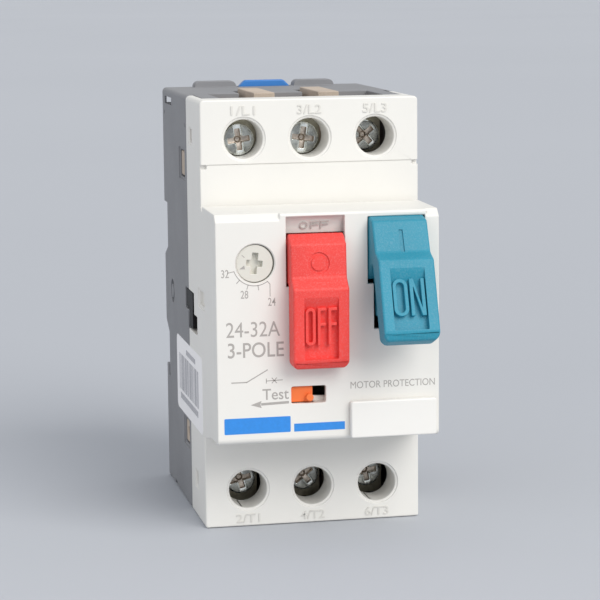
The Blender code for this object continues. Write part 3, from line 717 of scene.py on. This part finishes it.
def wall_lettering():
    """The moulded word on the wall that a pressed OFF lever leaves in view, darkened with painted shade.
    """
    shapes = [letter((OFF_X + left, OFF_X + left + 1.65), WALL_LETTER_Z, WALL_LETTER_WIDTH)
              for letter, left in ((letter_o, -2.85), (letter_f, -0.65), (letter_f, 1.3))]
    word = merge("word", [outline(shape, "Y", (-66.85, -66.3)) for shape in shapes])
    turn_about(word, (0, -66.6, 19.95), math.radians(18))
    return finish(word, "wall_lettering", LETTERING_SHADE, "housing", "white_plastic")


def terminal_marks():
    """Faint raised marks over and under the terminals, darkened with painted shade."""
    marks = []
    for x, upper, lower in zip(POLE_X, ("1/L1", "3/L2", "5/L3"), ("2/T1", "4/T2", "6/T3")):
        across = (x + MARK_X[0], x + MARK_X[1])
        marks.append(words(upper, across, UPPER_MARK_Z, TERMINAL_Y, 0.4, MARK_RELIEF))
        marks.append(words(lower, across, LOWER_MARK_Z, TERMINAL_Y, 0.4, MARK_RELIEF))
    return finish(merge("terminal_marks", marks), "terminal_marks", MARKS_SHADE, "housing", "white_plastic")


# ---------------------------------------------------------------- rear shell

def rail_grooves():
    """The recess above and below the rail's rib, with the rib's sloped flanks."""
    upper = [(2, RIB_TOP), (2, RECESS_TOP), (-RECESS_DEPTH, RECESS_TOP), (-RECESS_DEPTH, FLANK_TOP),
             (0, RIB_TOP)]
    lower = [(2, RIB_BOTTOM), (0, RIB_BOTTOM), (-RECESS_DEPTH, FLANK_BOTTOM),
             (-RECESS_DEPTH, RECESS_BOTTOM), (-2.9, RECESS_BOTTOM), (-2.9, RECESS_BOTTOM + 2.5),
             (2, RECESS_BOTTOM + 2.5)]
    return [outline(points, "X", (-30, 30)) for points in (upper, lower)]


def wire_entries():
    """One opening over the three poles at each end, and the two slots for the phase barriers."""
    cutters = []
    for side in (1, -1):
        ends = (side * (HALF_H - WALL - 1), side * (HALF_H + 3))
        cutters.append(box((-17.2, 17.2), (-46, -29.2), ends))
        cutters += [box((x - 3.6, x + 3.6), (-29.5, -18.7), ends) for x in BARRIER_X]
    return cutters


def base_side_details():
    """The turned ring, the windows with their rims, the slot, two pin marks and the bottom notch."""
    ring = cut(cylinder("X", (-10.4, -0.3), 2.6, (-HALF_W - 1, -HALF_W + 1.45)),
               cylinder("X", (-10.4, -0.3), 1.5, (-HALF_W - 2, -HALF_W + 1.5)))
    windows = [left_wall((-30.4, -23.6), (26.35, 32.05)), left_wall((-31.1, -24.6), (-31.05, -25.85)),
               left_wall((-31.0, -23.0), (25.85, 32.55), 0.3),
               left_wall((-31.7, -24.0), (-31.55, -25.35), 0.3)]
    marks = [left_wall((-13.0, -3.2), (40.6, 42.2)), box((-22.0, -17.0), (-7.0, 2.0), (40.6, 42.2)),
             left_wall((-3.4, -2.6), (38.2, 39.0), 1.0),
             left_wall((-31.9, -31.1), (37.2, 38.0), 1.0)]
    notch = box((-HALF_W - 1, -17.0), (-12.6, -9.6), (-HALF_H - 1, -HALF_H + 1.0))
    return [ring, *windows, *marks, notch]


def rear_shell():
    """Dark rear shell with the rail recess, the wire entries, the latch channel and side details."""
    back = outline(rounded_rect((-HALF_W, HALF_W), (-HALF_H, HALF_H), (BOTTOM_CORNER, TOP_CORNER)), "Y",
                   (SEAM_Y + GAP, BACK_Y))
    shell = round_edges(back, SOFT_EDGE, 3)
    tongue_half = HALF_W - WALL - GAP
    tongue = box((-tongue_half, tongue_half), (LID_BACK_Y + GAP, SEAM_Y + 4), (-HALF_H, HALF_H))
    tab_z = (HALF_H - 3, HALF_H + 1.3)
    tabs = [outline(rounded_rect(x, tab_z, (0.3, 1.2)), "Y", (-4.0, -0.4))
            for x in ((-15.8, -6.5), (6.5, 15.6))]
    shell = join(shell, tongue, *tabs)
    cavity = box((-INNER_HALF, INNER_HALF), (-BEYOND, -BACK_WALL), (-HALF_H + WALL, HALF_H - WALL))
    channel = box((-CHANNEL_HALF, CHANNEL_HALF), (-3.4, -0.8), (RECESS_TOP - 1, HALF_H + 5))
    shell = cut(shell, cavity, *rail_grooves(), channel)
    shell = cut(shell, *wire_entries(), *base_side_details(), *coupling_opening())
    stop = box((-1.5, 1.5), (-4.2, -0.5), (37.5, 39.0))
    return finish(round_edges(join(shell, stop), FINE_EDGE), "rear_shell", GREY, "housing",
                  "grey_plastic", "base_housing")


def inner_moulding():
    return finish(round_edges(copy_node("inner_frame"), 0.18, 2, 40), "inner_moulding", TAN, "housing",
                  "tan_moulding", "inner_frame")


def label():
    """The sticker across the seam of the left side, with plain bars and two rows of small blocks."""
    face = -HALF_W - 0.05
    thick = (face - PRINT_PROUD, face + PRINT_PROUD)
    y, z = span("side_label", "Y"), span("side_label", "Z")
    sheet = outline(rounded_rect(y, z, 1.5, 8), "X", (face, face + 0.12))
    finish(sheet, "side_label_sheet", LABEL, "housing", "label_paper", "side_label")
    bars = []
    draw = random.Random(7)
    at = y[0] + 5.2
    while at < y[1] - 3.4:
        width = draw.choice((0.35, 0.5, 0.9))
        bars.append(outline(rounded_rect((at, at + width), (z[0] + 4.6, z[1] - 3.7), 0.02, 1), "X",
                            thick))
        at += width + draw.choice((0.45, 0.6, 0.8))
    for low, start, end, tall in ((z[1] - 2.8, 9.0, 21.0, 1.1), (z[0] + 2.6, 6.0, 29.0, 1.3)):
        at = y[0] + start
        while at < y[0] + end:
            bars.append(outline(rounded_rect((at, at + 0.8), (low, low + tall), 0.02, 1), "X", thick))
            at += 1.25
    return finish(merge("side_label_bars", bars), "side_label_bars", LABEL_INK, "housing", "label_paper")


# ---------------------------------------------------------------- levers

def lever_profile():
    """Side view (Y, Z) of a pressed lever: head, slope, pad, and the hollow behind the head."""
    hub = arc((PIVOT_Y, PIVOT_Z), 3.0, -100, 150, 20)
    return [(-68.2, 18.55), (-71.2, 16.6), (-71.7, 10.05), (-73.8, 8.05), (-73.55, -6.3),
            (-72.6, -7.85), (-68.9, LEVER_BOTTOM), (-68.8, 8.4), (-66.8, 8.4), (-63.4, 6.6),
            *hub, (-63.6, 15.9), (-66.5, 15.6)]


def lever_body(x):
    side = outline(lever_profile(), "X", (x - LEVER_HALF, x + LEVER_HALF))
    front = outline(rounded_rect((x - LEVER_HALF, x + LEVER_HALF), (LEVER_BOTTOM, 24.0), (1.5, 0.3), 8),
                    "Y", (-76, -54))
    body = round_edges(common(side, front), 0.42, 4, 24)
    tongue = outline([(-69.2, 8.6), (-62.0, 8.6), (-61.2, 3.0), (-61.6, -0.4), (-69.2, -0.4)], "X",
                     (x - TONGUE_HALF, x + TONGUE_HALF))
    body = join(body, round_edges(tongue, 0.2))
    return cut(body, cylinder("X", (PIVOT_Y, PIVOT_Z), PIN_BORE, (x - 8, x + 8), segments=32),
               pad_scoop(x))


def pad_scoop(x):
    """The hollow of the pad: no depth at its top, and a crisp step at its bottom."""
    bottom, top = PAD_HOLLOW_Z
    across = (x - PAD_HOLLOW_HALF, x + PAD_HOLLOW_HALF)
    floor = [(y, z) for z, y in smooth_step(top, 2.4, -73.9, -72.35, 10)]
    scoop = outline([(-75.0, top), *floor, (-72.3, bottom), (-75.0, bottom)], "X", across)
    window = outline(rounded_rect(across, (bottom, 8.0), 0.25, 4), "Y", (-76, -70))
    return common(scoop, window)


def raised_letters(x, word):
    """Tall narrow letters that stand in the hollow of the pad."""
    if word == "OFF":
        shapes = [letter_o((x - 3.2, x - 1.15), LETTER_Z, 0.6),
                  letter_f((x - 0.75, x + 1.0), LETTER_Z, 0.6),
                  letter_f((x + 1.4, x + 3.15), LETTER_Z, 0.6)]
    else:
        shapes = [letter_o((x - 3.2, x - 0.2), LETTER_Z, 0.72),
                  letter_n((x + 0.2, x + 3.2), LETTER_Z, 0.72)]
    return [round_edges(outline(shape, "Y", LETTER_Y), 0.1) for shape in shapes]


def head_mark(x, word):
    """The shallow ring or bar in the head's sloping face."""
    face_y, face_z = HEAD_FACE
    if word == "OFF":
        shape = [arc((x, face_z), radius, 0, 354, 59) for radius in (2.15, 1.45)]
    else:
        shape = rounded_rect((x - 0.42, x + 0.42), (10.1, 14.7), 0.1, 2)
    return turn_about(outline(shape, "Y", (-73.0, -71.2)), (x, face_y, face_z), -HEAD_LEAN)


def lever(x, word, node, name, look, slot, body):
    made = cut(join(lever_body(x), *raised_letters(x, word)), head_mark(x, word))
    tidy_mesh(made)
    if word == "ON":
        turn_about(made, (x, PIVOT_Y, PIVOT_Z), -SWING)
    return finish(made, name, look, body, slot, node)


# ---------------------------------------------------------------- front controls

def dial():
    """The knob with its cross recess, its collar and stem, and the arrow printed on its face."""
    spot = (DIAL_X, DIAL_Z)
    face = cylinder("Y", spot, DIAL_RADIUS + 0.17, (DIAL_FACE, -66.0), segments=96)
    round_edges(face, 0.15, 3)
    made = join(face, cylinder("Y", spot, 4.6, (-66.9, -65.7)), cylinder("Y", spot, 1.8, (-66.0, -55.0)),
                cylinder("Y", (DIAL_X + 0.7, DIAL_Z), 2.4, (-56.4, -54.0)))
    across = box((DIAL_X - 1.6, DIAL_X + 1.6), (-70, -66.9), (DIAL_Z - 0.6, DIAL_Z + 0.6))
    upright = box((DIAL_X - 0.6, DIAL_X + 0.6), (-70.1, -66.9), (DIAL_Z - 2.1, DIAL_Z + 2.1))
    cross = turn_about(join(across, upright), (DIAL_X, 0, DIAL_Z), math.radians(6), "Y")
    made = round_edges(cut(made, cross), 0.1)
    finish(made, "dial_knob", DIAL, "adjustment_dial", "dial_plastic", "adjustment_dial")
    arrow = outline([(DIAL_X - 3.15, DIAL_Z - 0.32), (DIAL_X - 2.05, DIAL_Z + 0.16),
                     (DIAL_X - 2.05, DIAL_Z - 0.62)],
                    "Y", (DIAL_FACE - PRINT_PROUD, DIAL_FACE + PRINT_PROUD))
    tick = stroke((DIAL_X - 2.5, DIAL_Z + 1.75), (DIAL_X - 1.95, DIAL_Z + 1.25), 0.14, DIAL_FACE)
    turn_about(arrow, (DIAL_X, 0, DIAL_Z), math.radians(-13), "Y")
    return finish(merge("dial_arrow", [arrow, tick]), "dial_arrow", GREY_INK, "adjustment_dial",
                  "dial_plastic")


def around_dial(angle, radius):
    """The (X, Z) point at an angle and a radius about the dial."""
    turn = math.radians(angle)
    return DIAL_X + radius * math.cos(turn), DIAL_Z + radius * math.sin(turn)


def scale_marks():
    """The current scale round the dial: an arc, ticks, two leaders and three numbers."""
    marks = [band((DIAL_X, DIAL_Z), 4.35, LINE, 199, 305)]
    for angle in (226, 252, 278):
        marks.append(stroke(around_dial(angle, 4.3), around_dial(angle, 5.3), LINE))
    marks.append(stroke(around_dial(199, 4.3), around_dial(197, 5.7), LINE))
    corner = around_dial(306, 5.1)
    marks.append(stroke(around_dial(305, 4.3), corner, LINE))
    marks.append(stroke(corner, (corner[0], corner[1] - 2.45), LINE))
    for text, x, z in (("32", -21.4, 10.2), ("28", -17.6, 6.0), ("24", -12.15, 4.4)):
        marks.append(words(text, (x, x + 1.5), (z, z + 1.6), FRONT_Y))
    return marks


def front_print():
    """Grey print: dial scale, rating, symbols, and the word and arrow of the test slide."""
    marks = scale_marks()
    marks.append(words("24-32A", (-20.6, -9.85), (-1.65, 1.35), FRONT_Y, bold=0.0))
    marks.append(words("3-POLE", (-20.3, -9.1), (-5.75, -2.75), FRONT_Y))
    marks.append(words("MOTOR PROTECTION", (4.3, 21.6), (-12.9, -11.5), FRONT_Y, bold=0.0))
    marks.append(stroke((-19.7, -10.65), (-16.6, -10.65), 0.22))
    marks.append(stroke((-16.7, -10.7), (-12.4, -8.3), 0.22))
    marks.append(stroke((-12.7, -10.55), (-9.4, -10.45), LINE))
    marks.append(stroke((-12.7, -11.05), (-12.7, -10.05), LINE))
    for lean in (-1, 1):
        marks.append(stroke((-11.6, -10.5 - lean * 0.55), (-10.6, -10.5 + lean * 0.55), LINE))
    marks.append(words("Test", (-13.5, -8.2), (-14.35, -12.15), FRONT_Y))
    marks.append(stroke((-13.8, -15.18), (-8.2, -15.0), 0.5))
    marks.append(outline([(-15.9, -15.25), (-13.7, -14.5), (-13.95, -15.2), (-13.7, -15.9)], "Y",
                         (FRONT_Y - PRINT_PROUD, FRONT_Y + 0.01)))
    return finish(merge("front_print", marks), "front_print", GREY_INK, "housing", "white_plastic")


def blue_stripes():
    """Two plain stripes under the controls."""
    thick = (FRONT_Y - PRINT_PROUD, FRONT_Y + PRINT_PROUD)
    stripes = [outline(rounded_rect((-21.2, -7.9), (-21.0, -17.8), 0.2, 3), "Y", thick),
               outline(rounded_rect((-7.2, 3.1), (-21.0, -19.4), 0.05, 2), "Y", thick)]
    return finish(merge("blue_stripes", stripes), "blue_stripes", BLUE_INK, "housing", "white_plastic")


def slide():
    """The test slide: its plate, the finger pin and the prong that moves the trip bar."""
    plate = round_edges(box((-10.4, -3.2), (-67.5, -65.0), (-15.25, -12.1)), 0.2, 3)
    pin = round_edges(cylinder("Y", (-4.0, -14.2), 0.73, (-68.9, -66.0), segments=48), 0.15, 3)
    prong = box((-4.4, -3.2), (-65.6, -60.9), (-18.6, -12.25))
    return finish(round_edges(join(plate, pin, prong), 0.05), "slide", ORANGE, "test_slide",
                  "orange_plastic", "test_slide")


def plate():
    """The marking plate and its two pegs."""
    face_y, peg_y = span("marking_plate", "Y")
    made = outline(rounded_rect(PLATE_X, PLATE_Z, 0.4), "Y", (face_y, FRONT_Y - 0.1))
    round_edges(made, 0.28, 3)
    pegs = [cylinder("Y", (x, PEG_Z), 1.2, (FRONT_Y - 0.8, peg_y), segments=32) for x in PEG_X]
    return finish(round_edges(join(made, *pegs), 0.03), "plate", PLATE, "housing", "plate_plastic",
                  "marking_plate")


# ---------------------------------------------------------------- terminals and latch

def screw_mesh(x, z, head, turn):
    """A cheese head with a slot and a cross, on a plain shank."""
    made = cylinder("Y", (x, z), HEAD_RADIUS, (head, head + HEAD_THICK), segments=96)
    round_edges(made, 0.4, 4)
    made = join(made, cylinder("Y", (x, z), SHANK_RADIUS, (head + 1.0, head + HEAD_THICK + SHANK_LENGTH),
                               segments=48))
    cutters = [box((x - 4, x + 4), (head - 1, head + 0.5), (z - 0.85, z + 0.85)),
               box((x - 2.2, x + 2.2), (head - 1.1, head + 1.5), (z - 0.55, z + 0.55)),
               box((x - 0.55, x + 0.55), (head - 1.2, head + 1.5), (z - 2.3, z + 2.3)),
               cylinder("Y", (x, z), 1.2, (head - 0.2, head + 2.1), 0.5, segments=32)]
    for cutter in cutters:
        made = cut(made, turn_about(cutter, (x, 0, z), math.radians(turn), "Y"))
    return round_edges(made, 0.09, 2, 40, split=True)


def paint_screw_shade(screw, x, z, head):
    """Paints a darker reflection on the head's flat quarters that face the front, and painted shade,
    darker and browner, in the drive.
    """
    screw.data.materials.append(ZINC_DARK_REFLECTION)
    screw.data.materials.append(RECESS)
    for face in screw.data.polygons:
        centre = face.center / MM
        inside = math.hypot(centre.x - x, centre.z - z) < 2.5
        # faces deep in the drive get the painted shade
        if inside and head + 0.7 < centre.y < head + 2.3:
            face.material_index = 2
        # flat quarters that face the front get the painted dark reflection
        elif face.normal.y < -0.97 and centre.y < head + 0.1:
            face.material_index = 1


def screws():
    for word, turns in HEAD_TURNS.items():
        for number, turn in zip((1, 2, 3), turns):
            node = f"{word}_screw_{number}"
            x, z, head = middle(node, "X"), middle(node, "Z"), span(node, "Y")[0]
            made = finish(screw_mesh(x, z, head, turn), f"{word}_terminal_screw_{number}", ZINC, node,
                          "zinc_steel", node)
            paint_screw_shade(made, x, z, head)


def latch():
    """The rail latch: its tab, the window for its spring and the nose behind the rail."""
    half = span("rail_latch", "X")[1]
    low, rim = span("rail_latch", "Z")
    back, front = span("rail_latch", "Y")
    shape = [(-half, low), (half, low), (half, HALF_H), (half - 1.2, rim - 0.15),
             (half - 1.6, rim), (-half + 1.6, rim), (-half + 1.2, rim - 0.15), (-half, HALF_H)]
    made = cut(outline(shape, "Y", (back, front)), box((-2.2, 2.2), (-5, 1), (26.0, 41.5)),
               outline([(-5, 15.0), (-0.5, 15.0), (-0.5, 17.4)], "X", (-8, 8)))
    return finish(round_edges(made, 0.25, 3), "latch_slider", BLUE, "rail_latch", "blue_plastic",
                  "rail_latch")


def coupling_block():
    return finish(round_edges(copy_node("coupling_lever"), 0.2, 2, 40), "coupling_block", BLACK,
                  "contact_carrier", "black_plastic", "coupling_lever")


def dress_frame():
    """Materials for the inner pieces that stay as the frame has them."""
    words_to_look = (("conductor", COPPER), ("contact_carrier", BLACK), ("contact_spring", STEEL),
                     ("contact", COPPER), ("coil", COPPER), ("bimetal", BIMETAL), ("clamp", CLAMP),
                     ("trip_bar", DIAL), ("toggle_cam", BLACK))
    for name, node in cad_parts.items():
        look = next((look for word, look in words_to_look if word in name), STEEL)
        node.data.materials.clear()
        node.data.materials.append(look)
        node.data.shade_smooth()


# ---------------------------------------------------------------- studio

def floor():
    """A wide pale floor, with painted light that makes it a little lighter towards the viewer."""
    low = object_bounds()[0]
    work = bmesh.new()
    bmesh.ops.create_grid(work, x_segments=1, y_segments=1, size=12.0)
    made = from_work(work, "floor")
    made.location.z = low.z
    look = Shader("floor", 0.75, specular=0.2)
    tone = look.noise(0.0012, 2.0, 0.5)
    tint = look.ramp(tone, (0.3, (0.455, 0.475, 0.515)), (0.7, (0.47, 0.49, 0.53)))
    axes = look.nodes.new("ShaderNodeSeparateXYZ")
    look.links.new(look.place, axes.inputs["Vector"])
    # the floor's colour lifts towards the viewer: painted light
    painted_light_near = look.scaled(axes.outputs["Y"], 0.1, -0.3, 0.0, 1.0)
    look.link(look.blend(painted_light_near, tint, (0.54, 0.56, 0.60)), "Base Color")
    made.data.materials.append(look.material)
    made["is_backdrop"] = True


def sun(name, towards, strength, angle, colour=(1.0, 1.0, 1.0)):
    """Even light from far away; towards points from the object to the light."""
    data = bpy.data.lights.new(name, "SUN")
    data.energy = strength
    data.angle = math.radians(angle)
    data.color = colour
    obj = bpy.data.objects.new(name, data)
    bpy.context.scene.collection.objects.link(obj)
    obj.rotation_euler = Vector(towards).to_track_quat("Z", "Y").to_euler()


def studio():
    """A pale sky, a broad warm key light from the upper right and a weak fill from the left."""
    world = bpy.data.worlds.new("studio")
    bpy.context.scene.world = world
    world.use_nodes = True
    sky = world.node_tree.nodes["Background"]
    sky.inputs["Color"].default_value = (0.95, 0.97, 1.0, 1.0)
    sky.inputs["Strength"].default_value = 0.70
    sun("key", (0.27, -0.52, 0.45), 2.04, 40.0, (1.0, 0.98, 0.94))
    sun("fill", (-0.8, -0.5, 0.35), 0.3, 60.0, (0.97, 0.98, 1.0))


def camera():
    data = bpy.data.cameras.new("camera")
    data.lens = LENS
    data.sensor_width = 36.0
    data.clip_start = 0.01
    data.clip_end = 60.0
    obj = bpy.data.objects.new("camera", data)
    right, up = Vector(EYE_RIGHT), Vector(EYE_UP)
    back = right.cross(up).normalized()
    right = up.cross(back).normalized()
    turn = Matrix((right, up.normalized(), back)).transposed()
    obj.matrix_world = Matrix.Translation(EYE) @ turn.to_4x4()
    bpy.context.scene.collection.objects.link(obj)
    bpy.context.scene.camera = obj


camera()
dress_frame()
cover()
wall_lettering()
terminal_marks()
rear_shell()
inner_moulding()
label()
lever(OFF_X, "OFF", "off_lever", "off_button", RED, "red_plastic", "off_lever")
lever(ON_X, "ON", "on_lever", "on_button", TEAL, "teal_plastic", "on_lever")
dial()
front_print()
blue_stripes()
slide()
plate()
screws()
latch()
coupling_block()
studio()
floor()
bpy.context.scene.view_settings.view_transform = "Standard"
